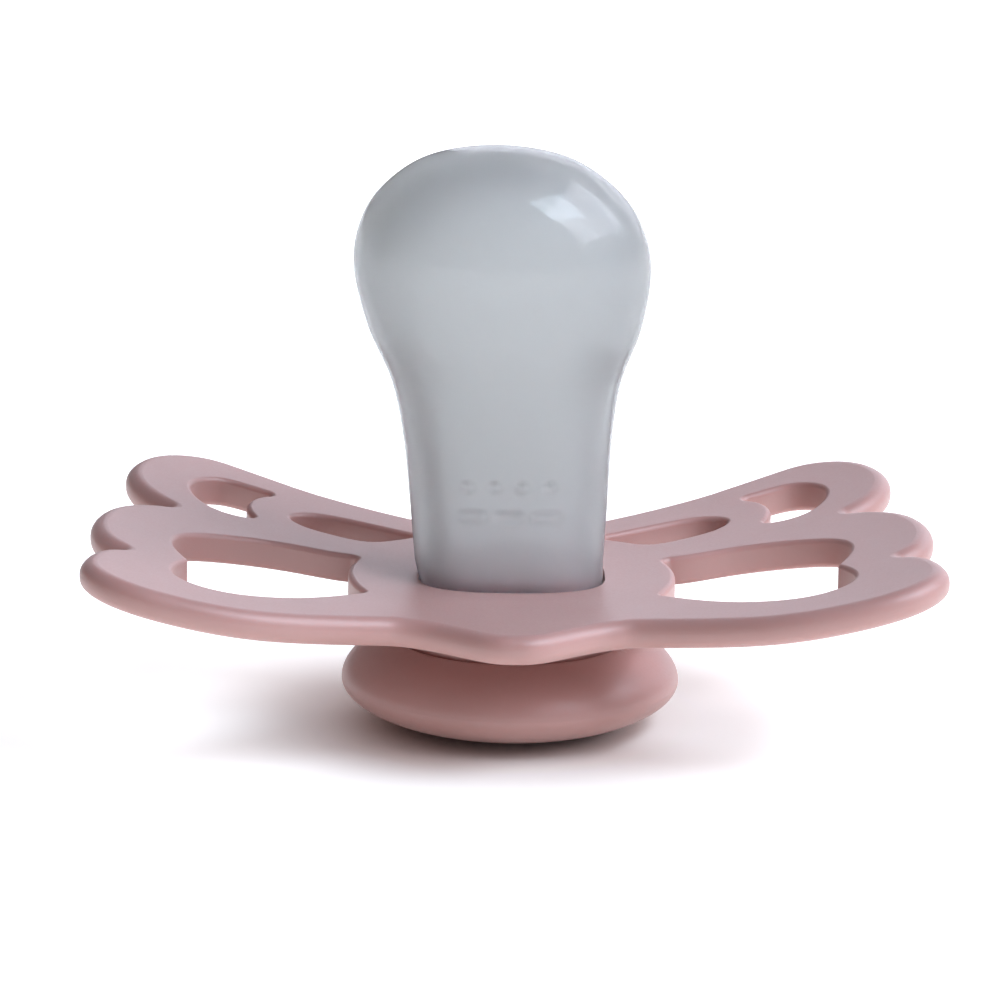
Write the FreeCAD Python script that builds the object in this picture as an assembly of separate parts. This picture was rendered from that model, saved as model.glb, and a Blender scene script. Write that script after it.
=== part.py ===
import FreeCAD, Part
import math
import os

# Pacifier standing on its knob: shield, silicone teat, locking plug and knob cap.
# Millimetres. +Z runs up to the tip of the teat, +X along the wings, -Y to the chin side.
# The origin is the centre of the flat resting face of the knob.

# Knob cap
KNOB_R = 10.55             # widest radius
KNOB_MID_Z = 2.8           # height of the widest radius
KNOB_FACE_H = 3.1          # half height of the ellipse below it, which the flat face cuts
KNOB_BACK_H = 4.0          # half height of the ellipse above it, towards the shield
CAP_MOUTH_R = 7.2          # hole in the back of the cap, for plug and collar
CAP_LEDGE_R = 6.4
CAP_LEDGE_Z = 2.6
CAP_FLOOR_Z = 1.3
CAP_LIP_R = 0.25           # rounding round the mouth

# Shield
SHIELD_TOP_Z = 9.25        # teat-side surface at the centre
SHIELD_T = 1.85            # plate thickness
BEND_RX = 90.0             # the wings curve up towards the face
BEND_RY = 300.0            # and so do the nose and chin edges, a little
OUTER_EDGE_R = 0.85        # nearly a full round
WINDOW_EDGE_R = 0.3
NOTCH_R = 0.35             # plan radius in the notches between the lobes
BUMP_NOTCH_R = 2.0         # and where the rim meets the bump at the chin
CUSP_R = 0.5               # plan radius of the corners of a window
HUB_Y = -1.0               # centre of the circle that ends the large windows
HUB_R = 10.2
NOSE_V_R = 6.0             # plan radius at the bottom of the V at the nose
NOSE_V_Y = 10.0            # where the two straight sides of the V would meet
NOSE_V_SLOPE = 0.5
NOSE_V_END_X = NOSE_V_R * math.sin(math.atan(NOSE_V_SLOPE))   # where the round meets a side
COLLAR_R = 7.1             # ring under the shield that takes the plug
COLLAR_BORE_R = 6.35
COLLAR_FOOT_Z = 4.0

# Plug
PLUG_DISC_R = 7.0
PLUG_R = 6.3
PLUG_TOP_Z = 6.1
SNAP_Z = 5.1
SNAP_HALF_H = 0.3
SNAP_DEPTH = 0.15
PLUG_CORE_R = 4.2
PLUG_CORE_TOP_Z = 4.9
SPIGOT_TOP_Z = 9.6

# Teat: height above the shield, half width, half depth and squareness of each section
TEAT_FLANGE_R = 6.25
TEAT_WALL = 1.3
TEAT_NECK = (5.8, 3.95, 3.4)
TEAT_SECTIONS = (
    (-1.5, *TEAT_NECK),
    (0.0, *TEAT_NECK),
    (2.0, 5.95, 3.95, 3.25),
    (5.0, 6.15, 4.0, 3.0),
    (9.3, 6.5, 4.3, 2.7),
    (12.8, 7.15, 4.9, 2.4),
    (16.2, 8.5, 5.7, 2.2),
    (20.0, 9.2, 6.2, 2.1),
    (23.0, 8.5, 5.7, 2.1),
    (25.2, 6.8, 4.5, 2.0),
    (26.8, 4.1, 2.7, 2.0),
    (27.4, 1.2, 0.8, 2.0),
)
SECTION_POINTS = 32
FIT_GAP = 0.05


def vec(x, y, z=0.0):
    return FreeCAD.Vector(x, y, z)


def line(a, b):
    return Part.LineSegment(vec(*a), vec(*b)).toShape()


def arc(a, mid, b):
    return Part.Arc(vec(*a), vec(*mid), vec(*b)).toShape()


def curve(*points):
    """Smooth plan curve through a few points."""
    spline = Part.BSplineCurve()
    spline.interpolate([vec(*p) for p in points])
    return spline.toShape()


def mirrored(shape):
    return shape.mirror(vec(0, 0), vec(1, 0))


def cylinder(radius, low, high):
    return Part.makeCylinder(radius, high - low, vec(0, 0, low))


def turned(profile):
    """Solid of revolution about Z from a closed chain of (radius, height) points."""
    wire = Part.makePolygon([vec(r, 0, z) for r, z in profile + profile[:1]])
    return Part.Face(wire).revolve(vec(0, 0), vec(0, 0, 1), 360)


def superellipse(z, half_x, half_y, squareness):
    """Points round a closed section at height z: an ellipse at squareness 2, boxier above it."""
    points = []
    for i in range(SECTION_POINTS):
        t = 2 * math.pi * i / SECTION_POINTS
        c, s = math.cos(t), math.sin(t)
        x = half_x * math.copysign(abs(c) ** (2 / squareness), c)
        y = half_y * math.copysign(abs(s) ** (2 / squareness), s)
        points.append(vec(x, y, z))
    return points + points[:1]


def lofted(sections):
    """Solid with a smooth skin through closed sections, flat at both ends."""
    surface = Part.BSplineSurface()
    surface.interpolate(sections)
    skin = surface.toShape()
    ends = []
    for points in (sections[0], sections[-1]):
        end_z = points[0].z
        loop = min(skin.Edges, key=lambda edge: abs(edge.BoundBox.ZMax - end_z) + edge.BoundBox.ZLength)
        ends.append(Part.Face(Part.Wire(loop)))
    shell = Part.makeShell([skin] + ends)
    shell.sewShape()
    shell.fix(1e-4, 1e-4, 1e-4)
    return Part.makeSolid(shell)


def neck_prism(grow, low, high):
    """Upright prism with the section of the teat's neck, grown by a little all round."""
    half_x, half_y, squareness = TEAT_NECK
    outline = Part.BSplineCurve()
    outline.interpolate(superellipse(low, half_x + grow, half_y + grow, squareness))
    return Part.Face(Part.Wire(outline.toShape())).extrude(vec(0, 0, high - low))


def hub_point(degrees):
    a = math.radians(degrees)
    return (HUB_R * math.cos(a), HUB_Y + HUB_R * math.sin(a))


# Plan corners of the right half of the shield
LOBE_NOTCH_NOSE = (21.3, 7.2)
LOBE_NOTCH_CHIN = (24.0, -5.8)
BUMP_NOTCH = (7.3, -12.3)
LARGE_TOP = hub_point(22.8)
LARGE_LOW = hub_point(-27)
LARGE_CUSP = (20.05, -5.0)
COMMA_CORNER = (16.0, 8.2)
COMMA_TAIL = (14.0, 14.3)
LEAF_TAIL = (5.4, 8.9)


def v_side(x):
    """Point on the straight right side of the V at the nose."""
    return (x, NOSE_V_Y + NOSE_V_SLOPE * x)


def right_outline():
    """Right half of the rim, from the V at the nose round three lobes to the chin bump."""
    rim = v_side(12.0)
    return [
        line(v_side(NOSE_V_END_X), rim),
        curve(rim, (14.4, 17.4), (17.0, 18.8), (19.4, 19.6), (22.1, 18.6), (24.1, 15.4), (24.5, 12.2),
              (23.4, 9.1), LOBE_NOTCH_NOSE),
        curve(LOBE_NOTCH_NOSE, (23.1, 6.4), (24.9, 4.4), (26.0, 1.3), (26.2, -1.9), (25.5, -4.4),
              LOBE_NOTCH_CHIN),
        curve(LOBE_NOTCH_CHIN, (25.5, -7.3), (26.35, -10.0), (26.3, -12.8), (24.6, -15.1),
              (20.5, -16.2), (16.2, -15.8), (11.5, -13.95), BUMP_NOTCH),
        curve(BUMP_NOTCH, (5.2, -12.9), (3.3, -14.3), (1.8, -15.4), (0.0, -15.8)),
    ]


def nose_arc():
    """Rounded bottom of the V at the nose."""
    x, y = v_side(NOSE_V_END_X)
    bottom = NOSE_V_Y + NOSE_V_R * (1 / math.cos(math.atan(NOSE_V_SLOPE)) - 1)
    return arc((-x, y), (0, bottom), (x, y))


def large_window():
    """Window between the hub and the two lower lobes."""
    return [
        arc(LARGE_LOW, hub_point(0), LARGE_TOP),
        curve(LARGE_TOP, (11.4, 2.95), (13.7, 3.3), (16.1, 3.15), (18.5, 2.35), (20.4, 0.9),
              (21.1, -1.0), (20.8, -3.1), LARGE_CUSP),
        curve(LARGE_CUSP, (20.7, -6.6), (20.95, -8.3), (20.4, -10.1), (18.4, -11.2), (15.8, -10.7),
              (12.6, -8.8), LARGE_LOW),
    ]


def comma_window():
    """Comma-shaped window in the upper lobe."""
    return [
        curve(COMMA_CORNER, (16.75, 10.5), (16.4, 12.4), COMMA_TAIL),
        curve(COMMA_TAIL, (16.3, 14.8), (18.4, 15.25), (20.1, 13.7), (20.25, 11.3), (18.6, 8.5),
              COMMA_CORNER),
    ]


def leaf_window():
    """Leaf-shaped window beside the V, following the hub on its inner side."""
    return [
        curve(LEAF_TAIL, (7.3, 7.6), (8.9, 6.65), (11.4, 7.3), (13.3, 8.5), (13.9, 10.0), (12.8, 11.0),
              (10.5, 10.9), (7.9, 9.9), LEAF_TAIL),
    ]


def bent_plate():
    """Plate of constant thickness, dished both ways and wider than the shield."""
    centre_z = SHIELD_TOP_Z + BEND_RX
    half_angle = 0.4
    arcs = []
    for radius in (BEND_RX, BEND_RX + SHIELD_T):
        x = radius * math.sin(half_angle)
        z = centre_z - radius * math.cos(half_angle)
        arcs.append(((-x, 0, z), (0, 0, centre_z - radius), (x, 0, z)))
    top, under = arcs
    section = Part.Face(Part.Wire([
        arc(*top), line(top[2], under[2]), arc(*under[::-1]), line(under[0], top[0]),
    ]))
    pivot = vec(0, 0, SHIELD_TOP_Z + BEND_RY)
    half_sweep = 6
    section.rotate(pivot, vec(1, 0, 0), -half_sweep)
    return section.revolve(pivot, vec(1, 0, 0), 2 * half_sweep)


def prism(edges, *rounds):
    """Upright prism over a closed plan outline; each round is a list of corners and a radius."""
    face = Part.Face(Part.Wire(Part.__sortEdges__(edges)))
    height = 20.0
    solid = face.extrude(vec(0, 0, height))
    for corners, radius in rounds:
        uprights = []
        for edge in solid.Edges:
            box = edge.BoundBox
            at_corner = any(math.hypot(box.XMin - x, box.YMin - y) < 0.02 for x, y in corners)
            if at_corner and box.ZLength > 0.9 * height:
                uprights.append(edge)
        solid = solid.makeFillet(radius, uprights)
    return solid


def both_sides(points):
    return [(side * x, y) for x, y in points for side in (1, -1)]


def broad_faces(solid):
    """The two dished faces of the plate, each with its loops from the longest down."""
    faces = sorted(solid.Faces, key=lambda face: -face.Area)[:2]
    return [sorted(face.Wires, key=lambda loop: -loop.BoundBox.DiagonalLength) for face in faces]


def shield():
    right = right_outline()
    rim = right + [mirrored(edge) for edge in right] + [nose_arc()]
    lobe_notches = both_sides([LOBE_NOTCH_NOSE, LOBE_NOTCH_CHIN])
    bump_notches = both_sides([BUMP_NOTCH])
    plate = prism(rim, (lobe_notches, NOTCH_R), (bump_notches, BUMP_NOTCH_R)).common(bent_plate())
    for outline, corners in (
        (large_window(), [LARGE_TOP, LARGE_LOW, LARGE_CUSP]),
        (comma_window(), [COMMA_CORNER, COMMA_TAIL]),
        (leaf_window(), [LEAF_TAIL]),
    ):
        window = prism(outline, (corners, CUSP_R))
        plate = plate.cut([window, mirrored(window)])
    window_edges = [edge for loops in broad_faces(plate) for loop in loops[1:] for edge in loop.Edges]
    plate = plate.makeFillet(WINDOW_EDGE_R, window_edges)
    rim_edges = [edge for loops in broad_faces(plate) for edge in loops[0].Edges]
    plate = plate.makeFillet(OUTER_EDGE_R, rim_edges)
    collar_top = SHIELD_TOP_Z - SHIELD_T / 2
    collar = cylinder(COLLAR_R, COLLAR_FOOT_Z, collar_top).cut(cylinder(COLLAR_BORE_R, 0, collar_top))
    under_z = SHIELD_TOP_Z - SHIELD_T
    plate = plate.fuse(collar).cut(cylinder(COLLAR_BORE_R, 0, under_z))
    plate = plate.cut(snap_ring(COLLAR_BORE_R, SNAP_DEPTH + FIT_GAP))
    return plate.cut(neck_prism(FIT_GAP, under_z - 1, SHIELD_TOP_Z + 1)).removeSplitter()


def snap_ring(radius, depth):
    """Ring with a blunt V section that stands out from a cylinder."""
    inner = radius - 1.0
    half = SNAP_HALF_H
    return turned([
        (inner, SNAP_Z - half - depth), (radius, SNAP_Z - half - depth), (radius + depth, SNAP_Z - half),
        (radius + depth, SNAP_Z + half), (radius, SNAP_Z + half + depth), (inner, SNAP_Z + half + depth),
    ])


def plug():
    """Locks the teat's flange into the collar; its spigot fills the foot of the hollow neck."""
    disc = cylinder(PLUG_DISC_R, CAP_LEDGE_Z, COLLAR_FOOT_Z)
    solid = disc.fuse(cylinder(PLUG_R, COLLAR_FOOT_Z, PLUG_TOP_Z)).fuse(snap_ring(PLUG_R, SNAP_DEPTH))
    solid = solid.fuse(neck_prism(-TEAT_WALL - FIT_GAP, COLLAR_FOOT_Z, SPIGOT_TOP_Z))
    return solid.cut(cylinder(PLUG_CORE_R, 0, PLUG_CORE_TOP_Z)).removeSplitter()


def knob_profile(half_height, low_angle, high_angle):
    """Part of the knob's side: an arc of an ellipse about the height of the widest radius."""
    ellipse = Part.Ellipse(vec(0, 0), KNOB_R, half_height)
    side = Part.ArcOfEllipse(ellipse, low_angle, high_angle).toShape()
    side.rotate(vec(0, 0), vec(1, 0, 0), 90)
    side.translate(vec(0, 0, KNOB_MID_Z))
    return side


def knob_cap():
    """Smooth cushion-shaped knob, hollow behind, open at the back for the plug."""
    face_angle = -math.asin(KNOB_MID_Z / KNOB_FACE_H)
    back_angle = math.acos(CAP_MOUTH_R / KNOB_R)
    back_z = KNOB_MID_Z + KNOB_BACK_H * math.sin(back_angle)
    inside = Part.makePolygon([
        vec(CAP_MOUTH_R, 0, back_z), vec(CAP_MOUTH_R, 0, CAP_LEDGE_Z), vec(CAP_LEDGE_R, 0, CAP_LEDGE_Z),
        vec(CAP_LEDGE_R, 0, CAP_FLOOR_Z), vec(0, 0, CAP_FLOOR_Z), vec(0, 0, 0),
        vec(KNOB_R * math.cos(face_angle), 0, 0),
    ])
    sides = [knob_profile(KNOB_FACE_H, face_angle, 0), knob_profile(KNOB_BACK_H, 0, back_angle)]
    wire = Part.Wire(Part.__sortEdges__(inside.Edges + sides))
    cap = Part.Face(wire).revolve(vec(0, 0), vec(0, 0, 1), 360)
    lip = [edge for edge in cap.Edges if edge.BoundBox.ZMin > back_z - 0.01 and edge.BoundBox.ZLength < 0.01]
    return cap.makeFillet(CAP_LIP_R, lip)


def teat_skin(shrink, low):
    """Teat from a given height up, with its skin moved in evenly by a wall thickness."""
    sections = [superellipse(low, TEAT_NECK[0] - shrink, TEAT_NECK[1] - shrink, TEAT_NECK[2])]
    tip = TEAT_SECTIONS[-1][0]
    for height, half_x, half_y, squareness in TEAT_SECTIONS:
        if half_y > 2 * shrink:
            z = SHIELD_TOP_Z + height - shrink * (height / tip) ** 2
            sections.append(superellipse(z, half_x - shrink, half_y - shrink, squareness))
    return lofted(sections)


def teat():
    """Hollow silicone bulb and neck with a round flange under the shield."""
    under_z = SHIELD_TOP_Z - SHIELD_T
    flange = cylinder(TEAT_FLANGE_R, PLUG_TOP_Z, under_z)
    solid = teat_skin(0.0, PLUG_TOP_Z).fuse(flange)
    return solid.cut(teat_skin(TEAT_WALL, PLUG_TOP_Z)).removeSplitter()


os.makedirs("parts", exist_ok=True)
for name, shape in (
    ("shield", shield()),
    ("teat", teat()),
    ("plug", plug()),
    ("knob_cap", knob_cap()),
):
    assert shape.isValid() and len(shape.Solids) == 1, name
    shape.Solids[0].exportStep(f"parts/{name}.step")
    print(name, round(shape.Volume, 1), "mm3")
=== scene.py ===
import math

import bpy
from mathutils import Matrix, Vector


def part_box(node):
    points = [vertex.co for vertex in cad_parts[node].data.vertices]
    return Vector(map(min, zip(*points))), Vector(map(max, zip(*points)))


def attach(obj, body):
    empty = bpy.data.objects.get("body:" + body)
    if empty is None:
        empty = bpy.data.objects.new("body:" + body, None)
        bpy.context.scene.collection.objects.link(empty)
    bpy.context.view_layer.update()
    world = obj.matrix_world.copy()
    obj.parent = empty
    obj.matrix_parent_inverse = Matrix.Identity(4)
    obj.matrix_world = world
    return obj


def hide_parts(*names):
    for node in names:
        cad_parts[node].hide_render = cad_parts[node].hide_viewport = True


# Pacifier on its knob. Metres, in the CAD frame: +Z up to the tip of the teat, +X along the
# wings, -Y to the chin side, which faces the camera.

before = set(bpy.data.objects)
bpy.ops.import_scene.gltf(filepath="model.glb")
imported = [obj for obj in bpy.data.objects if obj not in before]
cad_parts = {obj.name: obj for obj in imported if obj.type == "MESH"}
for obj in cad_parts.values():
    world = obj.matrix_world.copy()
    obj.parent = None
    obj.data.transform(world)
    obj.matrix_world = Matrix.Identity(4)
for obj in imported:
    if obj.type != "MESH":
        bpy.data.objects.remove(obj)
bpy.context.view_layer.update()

MM = 0.001
BODY = "root"
TEAT_LENGTH = 27.4 * MM                       # from the shield's surface to the tip
TEAT_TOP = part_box("teat")[1].z
SHIELD_TOP = TEAT_TOP - TEAT_LENGTH           # teat-side surface of the shield at its centre
SHIELD_THICKNESS = 1.85 * MM
FLANGE_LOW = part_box("teat")[0].z              # the teat's flange rests on the plug here
FLANGE_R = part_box("teat")[1].y
FLANGE_TOP = SHIELD_TOP - SHIELD_THICKNESS
FLANGE_EDGE = 0.25 * MM                       # bevel of the flange's rim
TEAT_WALL = 1.3 * MM
LEAST_HOLLOW = 0.6                            # the hollow ends where it is this share of the wall deep

# Teat sections in millimetres: height above the shield, half width, half depth, squareness
TEAT_SECTIONS = (
    (-1.9, 5.8, 3.95, 3.4),
    (-0.3, 5.8, 3.95, 3.4),
    (0.05, 5.7, 3.9, 3.45),
    (0.5, 5.78, 3.95, 3.4),
    (2.0, 5.93, 3.95, 3.25),
    (5.0, 6.15, 4.0, 3.0),
    (9.3, 6.5, 4.3, 2.7),
    (12.8, 7.15, 4.9, 2.4),
    (16.2, 8.5, 5.7, 2.2),
    (20.0, 9.2, 6.2, 2.1),
    (23.0, 8.5, 5.7, 2.1),
    (25.2, 6.8, 4.5, 2.0),
    (26.8, 4.1, 2.7, 2.0),
    (27.4, 0.0, 0.0, 2.0),
)
RING_SPACING = 0.16                           # millimetres along the skin
RING_POINTS = 192
# Plain raised marks on the front of the neck: (x, height above the shield, half length), in
# millimetres. A row of dots stands over a row of dashes.
MARKS = (
    *((x, 6.8, 0.0) for x in (-2.55, -0.85, 0.85, 2.55)),
    *((x, 4.9, 0.55) for x in (-2.3, 0.0, 2.3)),
)
MARK_RADIUS = 0.6
MARK_HEIGHT = 0.17
MARK_STEEPNESS = 1.3                          # above 1, a mark has a flat top
LEAN_FOOT = 0.17 * MM                         # the soft teat leans a little to -X
LEAN_FOOT_RISE = 0.05                         # share of the teat's length that takes up the foot's lean
LEAN_TIP = 1.25 * MM
LEAN_POWER = 1.6


# ---------------------------------------------------------------- node helpers

def new_material(name):
    """A node material with its Principled shader."""
    material = bpy.data.materials.new(name)
    material.use_nodes = True
    tree = material.node_tree
    return material, tree, tree.nodes["Principled BSDF"]


def noise(tree, size, detail=3.0, roughness=0.5):
    """Noise in object space; size is the width of a blotch in metres."""
    place = tree.nodes.new("ShaderNodeTexCoord")
    node = tree.nodes.new("ShaderNodeTexNoise")
    node.inputs["Scale"].default_value = 1.0 / size
    node.inputs["Detail"].default_value = detail
    node.inputs["Roughness"].default_value = roughness
    tree.links.new(place.outputs["Object"], node.inputs["Vector"])
    return node.outputs["Fac"]


def remap(tree, value, low, high):
    """A noise value stretched to run from low to high."""
    node = tree.nodes.new("ShaderNodeMapRange")
    node.inputs["From Min"].default_value = 0.3
    node.inputs["From Max"].default_value = 0.7
    node.inputs["To Min"].default_value = low
    node.inputs["To Max"].default_value = high
    tree.links.new(value, node.inputs["Value"])
    return node.outputs["Result"]


def blend_colours(tree, value, first, second):
    """The first colour where the value is 0, the second where it is 1; each is a triple or an output."""
    node = tree.nodes.new("ShaderNodeMix")
    node.data_type = "RGBA"
    for socket, colour in (("A", first), ("B", second)):
        if isinstance(colour, tuple):
            node.inputs[socket].default_value = (*colour, 1.0)
        else:
            tree.links.new(colour, node.inputs[socket])
    tree.links.new(value, node.inputs["Factor"])
    return node.outputs["Result"]


def smooth_step(tree, value, low, high, top=1.0):
    """0 up to low and top from high on, with a smooth step between."""
    node = tree.nodes.new("ShaderNodeMapRange")
    node.interpolation_type = "SMOOTHSTEP"
    node.inputs["From Min"].default_value = low
    node.inputs["From Max"].default_value = high
    node.inputs["To Max"].default_value = top
    tree.links.new(value, node.inputs["Value"])
    return node.outputs["Result"]


def set_values(shader, values):
    for socket, value in values.items():
        shader.inputs[socket].default_value = value


def bumps(tree, layers):
    """A chain of bump nodes from (height value, depth in metres) pairs."""
    normal = None
    for height, depth in layers:
        node = tree.nodes.new("ShaderNodeBump")
        node.inputs["Distance"].default_value = depth
        node.inputs["Strength"].default_value = 1.0
        tree.links.new(height, node.inputs["Height"])
        if normal is not None:
            tree.links.new(normal, node.inputs["Normal"])
        normal = node.outputs["Normal"]
    return normal


# ---------------------------------------------------------------- materials

FLOOR_LIGHT = (0.93, 0.90, 0.84)
FLOOR_DARK = (0.92, 0.89, 0.83)
# Painted light and shadow on the floor: it glows from GLOW_STARTS out, fully from GLOW_FULL on, and
# stays dark nearer the object.
GLOW_STARTS = 7 * MM
GLOW_FULL = 24 * MM
GLOW_STRENGTH = 0.68
GLOW_COLOUR = (0.93, 0.98, 1.03, 1.0)


def moulded_plastic(name, light, dark, rough):
    """Matt polypropylene: fine eroded grain, faint flow mottling, a little light let in."""
    material, tree, shader = new_material(name)
    mottle = remap(tree, noise(tree, 5 * MM, detail=4.0), 0.0, 1.0)
    grain = noise(tree, 0.16 * MM, detail=2.0, roughness=0.6)
    tree.links.new(blend_colours(tree, mottle, dark, light), shader.inputs["Base Color"])
    tree.links.new(remap(tree, grain, rough - 0.05, rough + 0.05), shader.inputs["Roughness"])
    swell = noise(tree, 2.6 * MM, detail=1.0)
    tree.links.new(bumps(tree, [(swell, 0.015 * MM), (grain, 0.004 * MM)]), shader.inputs["Normal"])
    set_values(shader, {
        "IOR": 1.5,
        "Specular IOR Level": 0.8,
        "Sheen Weight": 0.12,
        "Sheen Roughness": 0.5,
        "Subsurface Weight": 0.25,
        "Subsurface Radius": (1.0, 0.35, 0.3),
        "Subsurface Scale": 1.6 * MM,
    })
    return material


def above_shield(tree, low, high):
    """0 below the lower height above the shield and 1 past the upper one, both in millimetres."""
    place = tree.nodes.new("ShaderNodeTexCoord")
    axes = tree.nodes.new("ShaderNodeSeparateXYZ")
    tree.links.new(place.outputs["Object"], axes.inputs["Vector"])
    return smooth_step(tree, axes.outputs["Z"], SHIELD_TOP + low * MM, SHIELD_TOP + high * MM)


def silicone(name):
    """Milky grey silicone: lets light through, scatters it, and has a thin gloss. Its base colour
    has painted light, lighter towards the bottom of the teat with a painted pink from the shield
    in the last millimetre, and painted shade, darker where the skin is seen edge on."""
    material, tree, shader = new_material(name)
    cloud = remap(tree, noise(tree, 7 * MM, detail=2.0), 0.0, 1.0)
    bulb = blend_colours(tree, cloud, (0.72, 0.73, 0.725), (0.75, 0.76, 0.755))
    # Painted light: the base colour gets lighter near the shield, with a painted pink cast from the
    # shield in the last millimetre.
    painted_foot_light = blend_colours(tree, above_shield(tree, -0.2, 1.4), (1.0, 0.90, 0.94), (0.87, 0.90, 0.90))
    body = blend_colours(tree, above_shield(tree, 0.5, 8.0), painted_foot_light, bulb)
    # Painted shade: the base colour darkens where the skin is seen edge on.
    edge = tree.nodes.new("ShaderNodeLayerWeight")
    edge.inputs["Blend"].default_value = 0.32
    painted_edge_shade = blend_colours(tree, cloud, (0.36, 0.37, 0.37), (0.38, 0.39, 0.39))
    tree.links.new(blend_colours(tree, edge.outputs["Facing"], body, painted_edge_shade), shader.inputs["Base Color"])
    skin = noise(tree, 0.5 * MM, detail=2.0)
    tree.links.new(remap(tree, skin, 0.66, 0.72), shader.inputs["Roughness"])
    swell = noise(tree, 4 * MM, detail=1.0)
    tree.links.new(bumps(tree, [(swell, 0.02 * MM), (skin, 0.003 * MM)]), shader.inputs["Normal"])
    set_values(shader, {
        "IOR": 1.41,
        "Specular IOR Level": 0.15,
        "Transmission Weight": 0.85,
        "Subsurface Weight": 1.0,
        "Subsurface Radius": (0.9, 1.0, 1.05),
        "Subsurface Scale": 2.5 * MM,
        "Coat Weight": 0.65,
        "Coat Roughness": 0.04,
    })
    return material


def floor_material():
    """White floor that glows with painted light, except close under the object, where the missing light
    paints shadow over the real shade.
    """
    material, tree, shader = new_material("studio_floor")
    shade = remap(tree, noise(tree, 60 * MM), 0.0, 1.0)
    tree.links.new(blend_colours(tree, shade, FLOOR_DARK, FLOOR_LIGHT), shader.inputs["Base Color"])
    place = tree.nodes.new("ShaderNodeTexCoord")
    distance = tree.nodes.new("ShaderNodeVectorMath")
    distance.operation = "LENGTH"
    tree.links.new(place.outputs["Object"], distance.inputs[0])
    painted_floor_glow = smooth_step(tree, distance.outputs["Value"], GLOW_STARTS, GLOW_FULL, GLOW_STRENGTH)
    tree.links.new(painted_floor_glow, shader.inputs["Emission Strength"])
    set_values(shader, {
        "Roughness": 0.9,
        "Specular IOR Level": 0.1,
        "Emission Color": GLOW_COLOUR,
    })
    return material


# ---------------------------------------------------------------- teat

def smooth_sections(sections):
    """Catmull-Rom curve through the sections, without the last one itself. It is mirrored past the
    tip so that the tip is round."""
    before = sections[-2]
    past_tip = (before[0], -before[1], -before[2], before[3])
    points = (sections[0],) + tuple(sections) + (past_tip,)
    found = []
    for i in range(1, len(points) - 2):
        p0, p1, p2, p3 = points[i - 1:i + 3]
        steps = math.ceil(math.hypot(p2[0] - p1[0], p2[1] - p1[1]) / RING_SPACING)
        for step in range(steps):
            t = step / steps
            found.append(tuple(
                0.5 * (2 * b + (c - a) * t + (2 * a - 5 * b + 4 * c - d) * t ** 2
                       + (3 * b - a - 3 * c + d) * t ** 3)
                for a, b, c, d in zip(p0, p1, p2, p3)
            ))
    return found


def ring(z, half_x, half_y, squareness, lean=0.0):
    """Points round a section: an ellipse at squareness 2, boxier above it."""
    points = []
    for i in range(RING_POINTS):
        t = 2 * math.pi * i / RING_POINTS
        c, s = math.cos(t), math.sin(t)
        reach = (abs(c) ** squareness + abs(s) ** squareness) ** (-1 / squareness)
        points.append((reach * half_x * c - lean, reach * half_y * s, z))
    return points


def mark_height(x, height):
    """How far the marks stand out at a point of the neck's front, in millimetres."""
    total = 0.0
    for mark_x, mark_z, half_length in MARKS:
        along = max(abs(x - mark_x) - half_length, 0.0)
        share = max(0.0, 1 - math.hypot(along, height - mark_z) / MARK_RADIUS)
        total += MARK_HEIGHT * min(1.0, MARK_STEEPNESS * share * share * (3 - 2 * share))
    return total


def lean_at(height):
    """How far the teat's middle stands towards -X at a height above the shield."""
    share = max(height, 0.0) / TEAT_LENGTH
    return LEAN_FOOT * min(1.0, share / LEAN_FOOT_RISE) + (LEAN_TIP - LEAN_FOOT) * share ** LEAN_POWER


def skin_rings(shrink):
    """Rings of the teat's skin from the shield's under side to the tip, moved in by shrink."""
    rings = []
    for height, half_x, half_y, squareness in smooth_sections(TEAT_SECTIONS):
        height, half_x, half_y = height * MM, half_x * MM - shrink, half_y * MM - shrink
        if half_y > LEAST_HOLLOW * shrink:
            z = SHIELD_TOP + height - shrink * (max(height, 0.0) / TEAT_LENGTH) ** 4
            rings.append(ring(z, half_x, half_y, squareness, lean_at(height)))
    return rings


def with_marks(rings):
    """The same rings with the raised marks pushed out of their front."""
    marked = []
    for loop in rings:
        height = (loop[0][2] - SHIELD_TOP) / MM
        shift = lean_at(height * MM)
        marked.append([
            (x, y - mark_height((x + shift) / MM, height) * MM if y < 0 else y, z)
            for x, y, z in loop
        ])
    return marked


def closed_mesh(name, rings, first_point, last_point):
    """One closed skin through a chain of rings, with a fan to a point at each end."""
    count = len(rings[0])
    points = [first_point] + [p for loop in rings for p in loop] + [last_point]
    last = len(points) - 1
    faces = []
    for k in range(count):
        following = (k + 1) % count
        faces.append((0, 1 + following, 1 + k))
        for r in range(len(rings) - 1):
            low, high = 1 + r * count, 1 + (r + 1) * count
            faces.append((low + k, low + following, high + following, high + k))
        top = 1 + (len(rings) - 1) * count
        faces.append((top + k, top + following, last))
    mesh = bpy.data.meshes.new(name)
    mesh.from_pydata(points, [], faces)
    mesh.validate()
    mesh.shade_smooth()
    piece = bpy.data.objects.new(name, mesh)
    bpy.context.scene.collection.objects.link(piece)
    return piece


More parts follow.
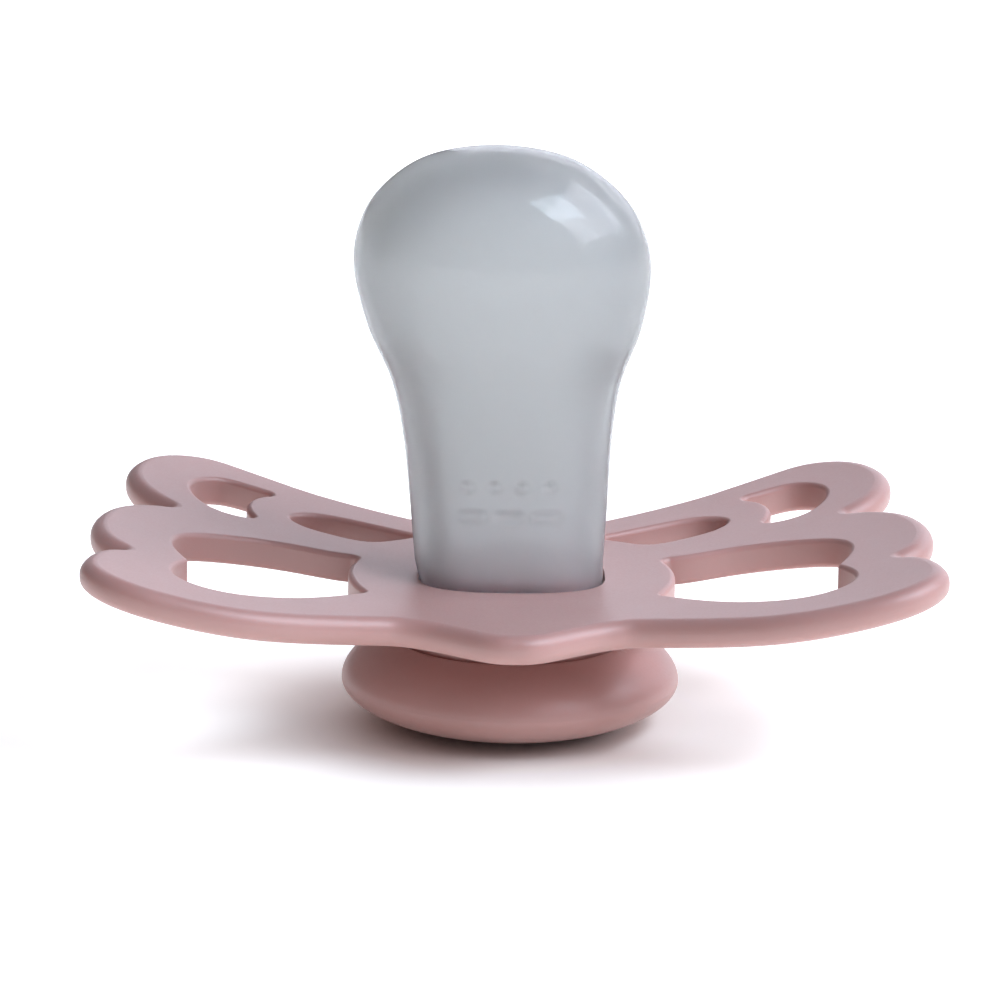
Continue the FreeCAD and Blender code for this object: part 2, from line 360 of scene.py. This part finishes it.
def make_teat():
    """Hollow silicone teat: inner skin down, round the flange, outer skin up to the tip."""
    inner = skin_rings(TEAT_WALL)
    outer = with_marks(skin_rings(0.0))
    neck_x, neck_y, neck_squareness = TEAT_SECTIONS[0][1:]
    neck_in = ring(FLANGE_LOW, neck_x * MM - TEAT_WALL, neck_y * MM - TEAT_WALL, neck_squareness)
    bevelled = FLANGE_R - FLANGE_EDGE
    flange = [
        ring(FLANGE_LOW, bevelled, bevelled, 2),
        ring(FLANGE_LOW + FLANGE_EDGE, FLANGE_R, FLANGE_R, 2),
        ring(FLANGE_TOP - FLANGE_EDGE, FLANGE_R, FLANGE_R, 2),
        ring(FLANGE_TOP, bevelled, bevelled, 2),
    ]
    inner_tip = (-LEAN_TIP, 0.0, TEAT_TOP - TEAT_WALL)
    outer_tip = (-LEAN_TIP, 0.0, TEAT_TOP)
    return closed_mesh("silicone_teat", inner[::-1] + [neck_in] + flange + outer, inner_tip, outer_tip)


# ---------------------------------------------------------------- studio

DAYLIGHT = (0.96, 0.99, 1.12)
SKYLIGHT = (0.80, 0.98, 1.15)
FLOOR_HALF_WIDTH = 3.0
WINDOW_SIDE = (1.0, -0.1, 0.35)
ROOM_DARK = (0.10, 0.05, 0.035)
ROOM_LIGHT = (0.30, 0.33, 0.39)
CAMERA_LIFT = math.radians(15.0)
CAMERA_YAW = math.radians(1.15)
CAMERA_ROLL = 0.0143
CAMERA_DISTANCE = 450 * MM
CAMERA_LENS = 259.2                          # millimetres, on a 36 mm sensor
AIM_LEFT = 0.703 * MM                        # of the shield's centre in the picture
AIM_UP = 4.8125 * MM


def add_camera():
    """Long lens, a little above the object and rolled by under a degree."""
    target = Vector((0, 0, SHIELD_TOP))
    back = Vector((
        -math.sin(CAMERA_YAW) * math.cos(CAMERA_LIFT),
        -math.cos(CAMERA_YAW) * math.cos(CAMERA_LIFT),
        math.sin(CAMERA_LIFT),
    ))
    level = Vector((math.cos(CAMERA_YAW), -math.sin(CAMERA_YAW), 0))
    upright = back.cross(level)
    position = target + back * CAMERA_DISTANCE
    right = level * math.cos(CAMERA_ROLL) + upright * math.sin(CAMERA_ROLL)
    up = upright * math.cos(CAMERA_ROLL) - level * math.sin(CAMERA_ROLL)
    aim = target - right * AIM_LEFT + up * AIM_UP
    back = (position - aim).normalized()
    right = up.cross(back).normalized()
    up = back.cross(right)
    camera = bpy.data.objects.new("camera", bpy.data.cameras.new("camera"))
    camera.data.lens = CAMERA_LENS
    camera.data.clip_start = 0.01
    matrix = camera.matrix_world.to_3x3()
    matrix.col[0], matrix.col[1], matrix.col[2] = right, up, back
    camera.matrix_world = matrix.to_4x4()
    camera.location = position
    bpy.context.scene.collection.objects.link(camera)
    bpy.context.scene.camera = camera


def add_area_light(name, position, width, height, power, colour):
    """A soft light aimed at the middle of the object."""
    data = bpy.data.lights.new(name, "AREA")
    data.shape = "RECTANGLE"
    data.size = width
    data.size_y = height
    data.energy = power
    data.color = colour
    light = bpy.data.objects.new(name, data)
    light.location = position
    aim = Vector((0, 0, SHIELD_TOP)) - Vector(position)
    light.rotation_euler = aim.to_track_quat("-Z", "Y").to_euler()
    bpy.context.scene.collection.objects.link(light)


def add_floor():
    """A floor far wider than the picture, lying under the knob."""
    half = FLOOR_HALF_WIDTH
    mesh = bpy.data.meshes.new("floor")
    corners = [(-half, -half, 0), (half, -half, 0), (half, half, 0), (-half, half, 0)]
    mesh.from_pydata(corners, [], [(0, 1, 2, 3)])
    floor = bpy.data.objects.new("floor", mesh)
    floor.data.materials.append(floor_material())
    bpy.context.scene.collection.objects.link(floor)


def add_world():
    """Dim room, brighter and bluer towards the window on the right than on the left."""
    world = bpy.data.worlds.new("studio")
    world.use_nodes = True
    tree = world.node_tree
    background = tree.nodes["Background"]
    place = tree.nodes.new("ShaderNodeTexCoord")
    towards = tree.nodes.new("ShaderNodeVectorMath")
    towards.operation = "DOT_PRODUCT"
    towards.inputs[1].default_value = Vector(WINDOW_SIDE).normalized()
    tree.links.new(place.outputs["Generated"], towards.inputs[0])
    share = tree.nodes.new("ShaderNodeMapRange")
    share.inputs["From Min"].default_value = -1.0
    tree.links.new(towards.outputs["Value"], share.inputs["Value"])
    colour = blend_colours(tree, share.outputs["Result"], ROOM_DARK, ROOM_LIGHT)
    tree.links.new(colour, background.inputs["Color"])
    bpy.context.scene.world = world


# ---------------------------------------------------------------- the object

def main():
    pink = moulded_plastic("pink_polypropylene", (0.47, 0.26, 0.235), (0.45, 0.245, 0.22), 0.45)
    knob_pink = moulded_plastic("knob_polypropylene", (0.46, 0.25, 0.225), (0.44, 0.235, 0.21), 0.45)
    plug_pink = moulded_plastic("plug_polypropylene", (0.45, 0.25, 0.225), (0.43, 0.235, 0.21), 0.55)
    for node, material in (("shield", pink), ("knob_cap", knob_pink), ("plug", plug_pink)):
        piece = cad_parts[node]
        piece.data.materials.clear()
        piece.data.materials.append(material)

    teat = make_teat()
    teat.data.materials.append(silicone("grey_silicone"))
    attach(teat, BODY)
    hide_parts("teat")

    add_world()
    add_floor()
    add_camera()
    add_area_light("window", (0.57, -0.12, 0.52), 0.80, 0.50, 5.2, DAYLIGHT)
    add_area_light("back_softbox", (0.30, 0.80, 0.30), 0.8, 0.5, 2.0, DAYLIGHT)
    add_area_light("front_softbox", (0.45, -0.32, 0.75), 0.4, 0.3, 2.0, SKYLIGHT)
    bpy.context.scene.view_settings.view_transform = "Standard"


main()
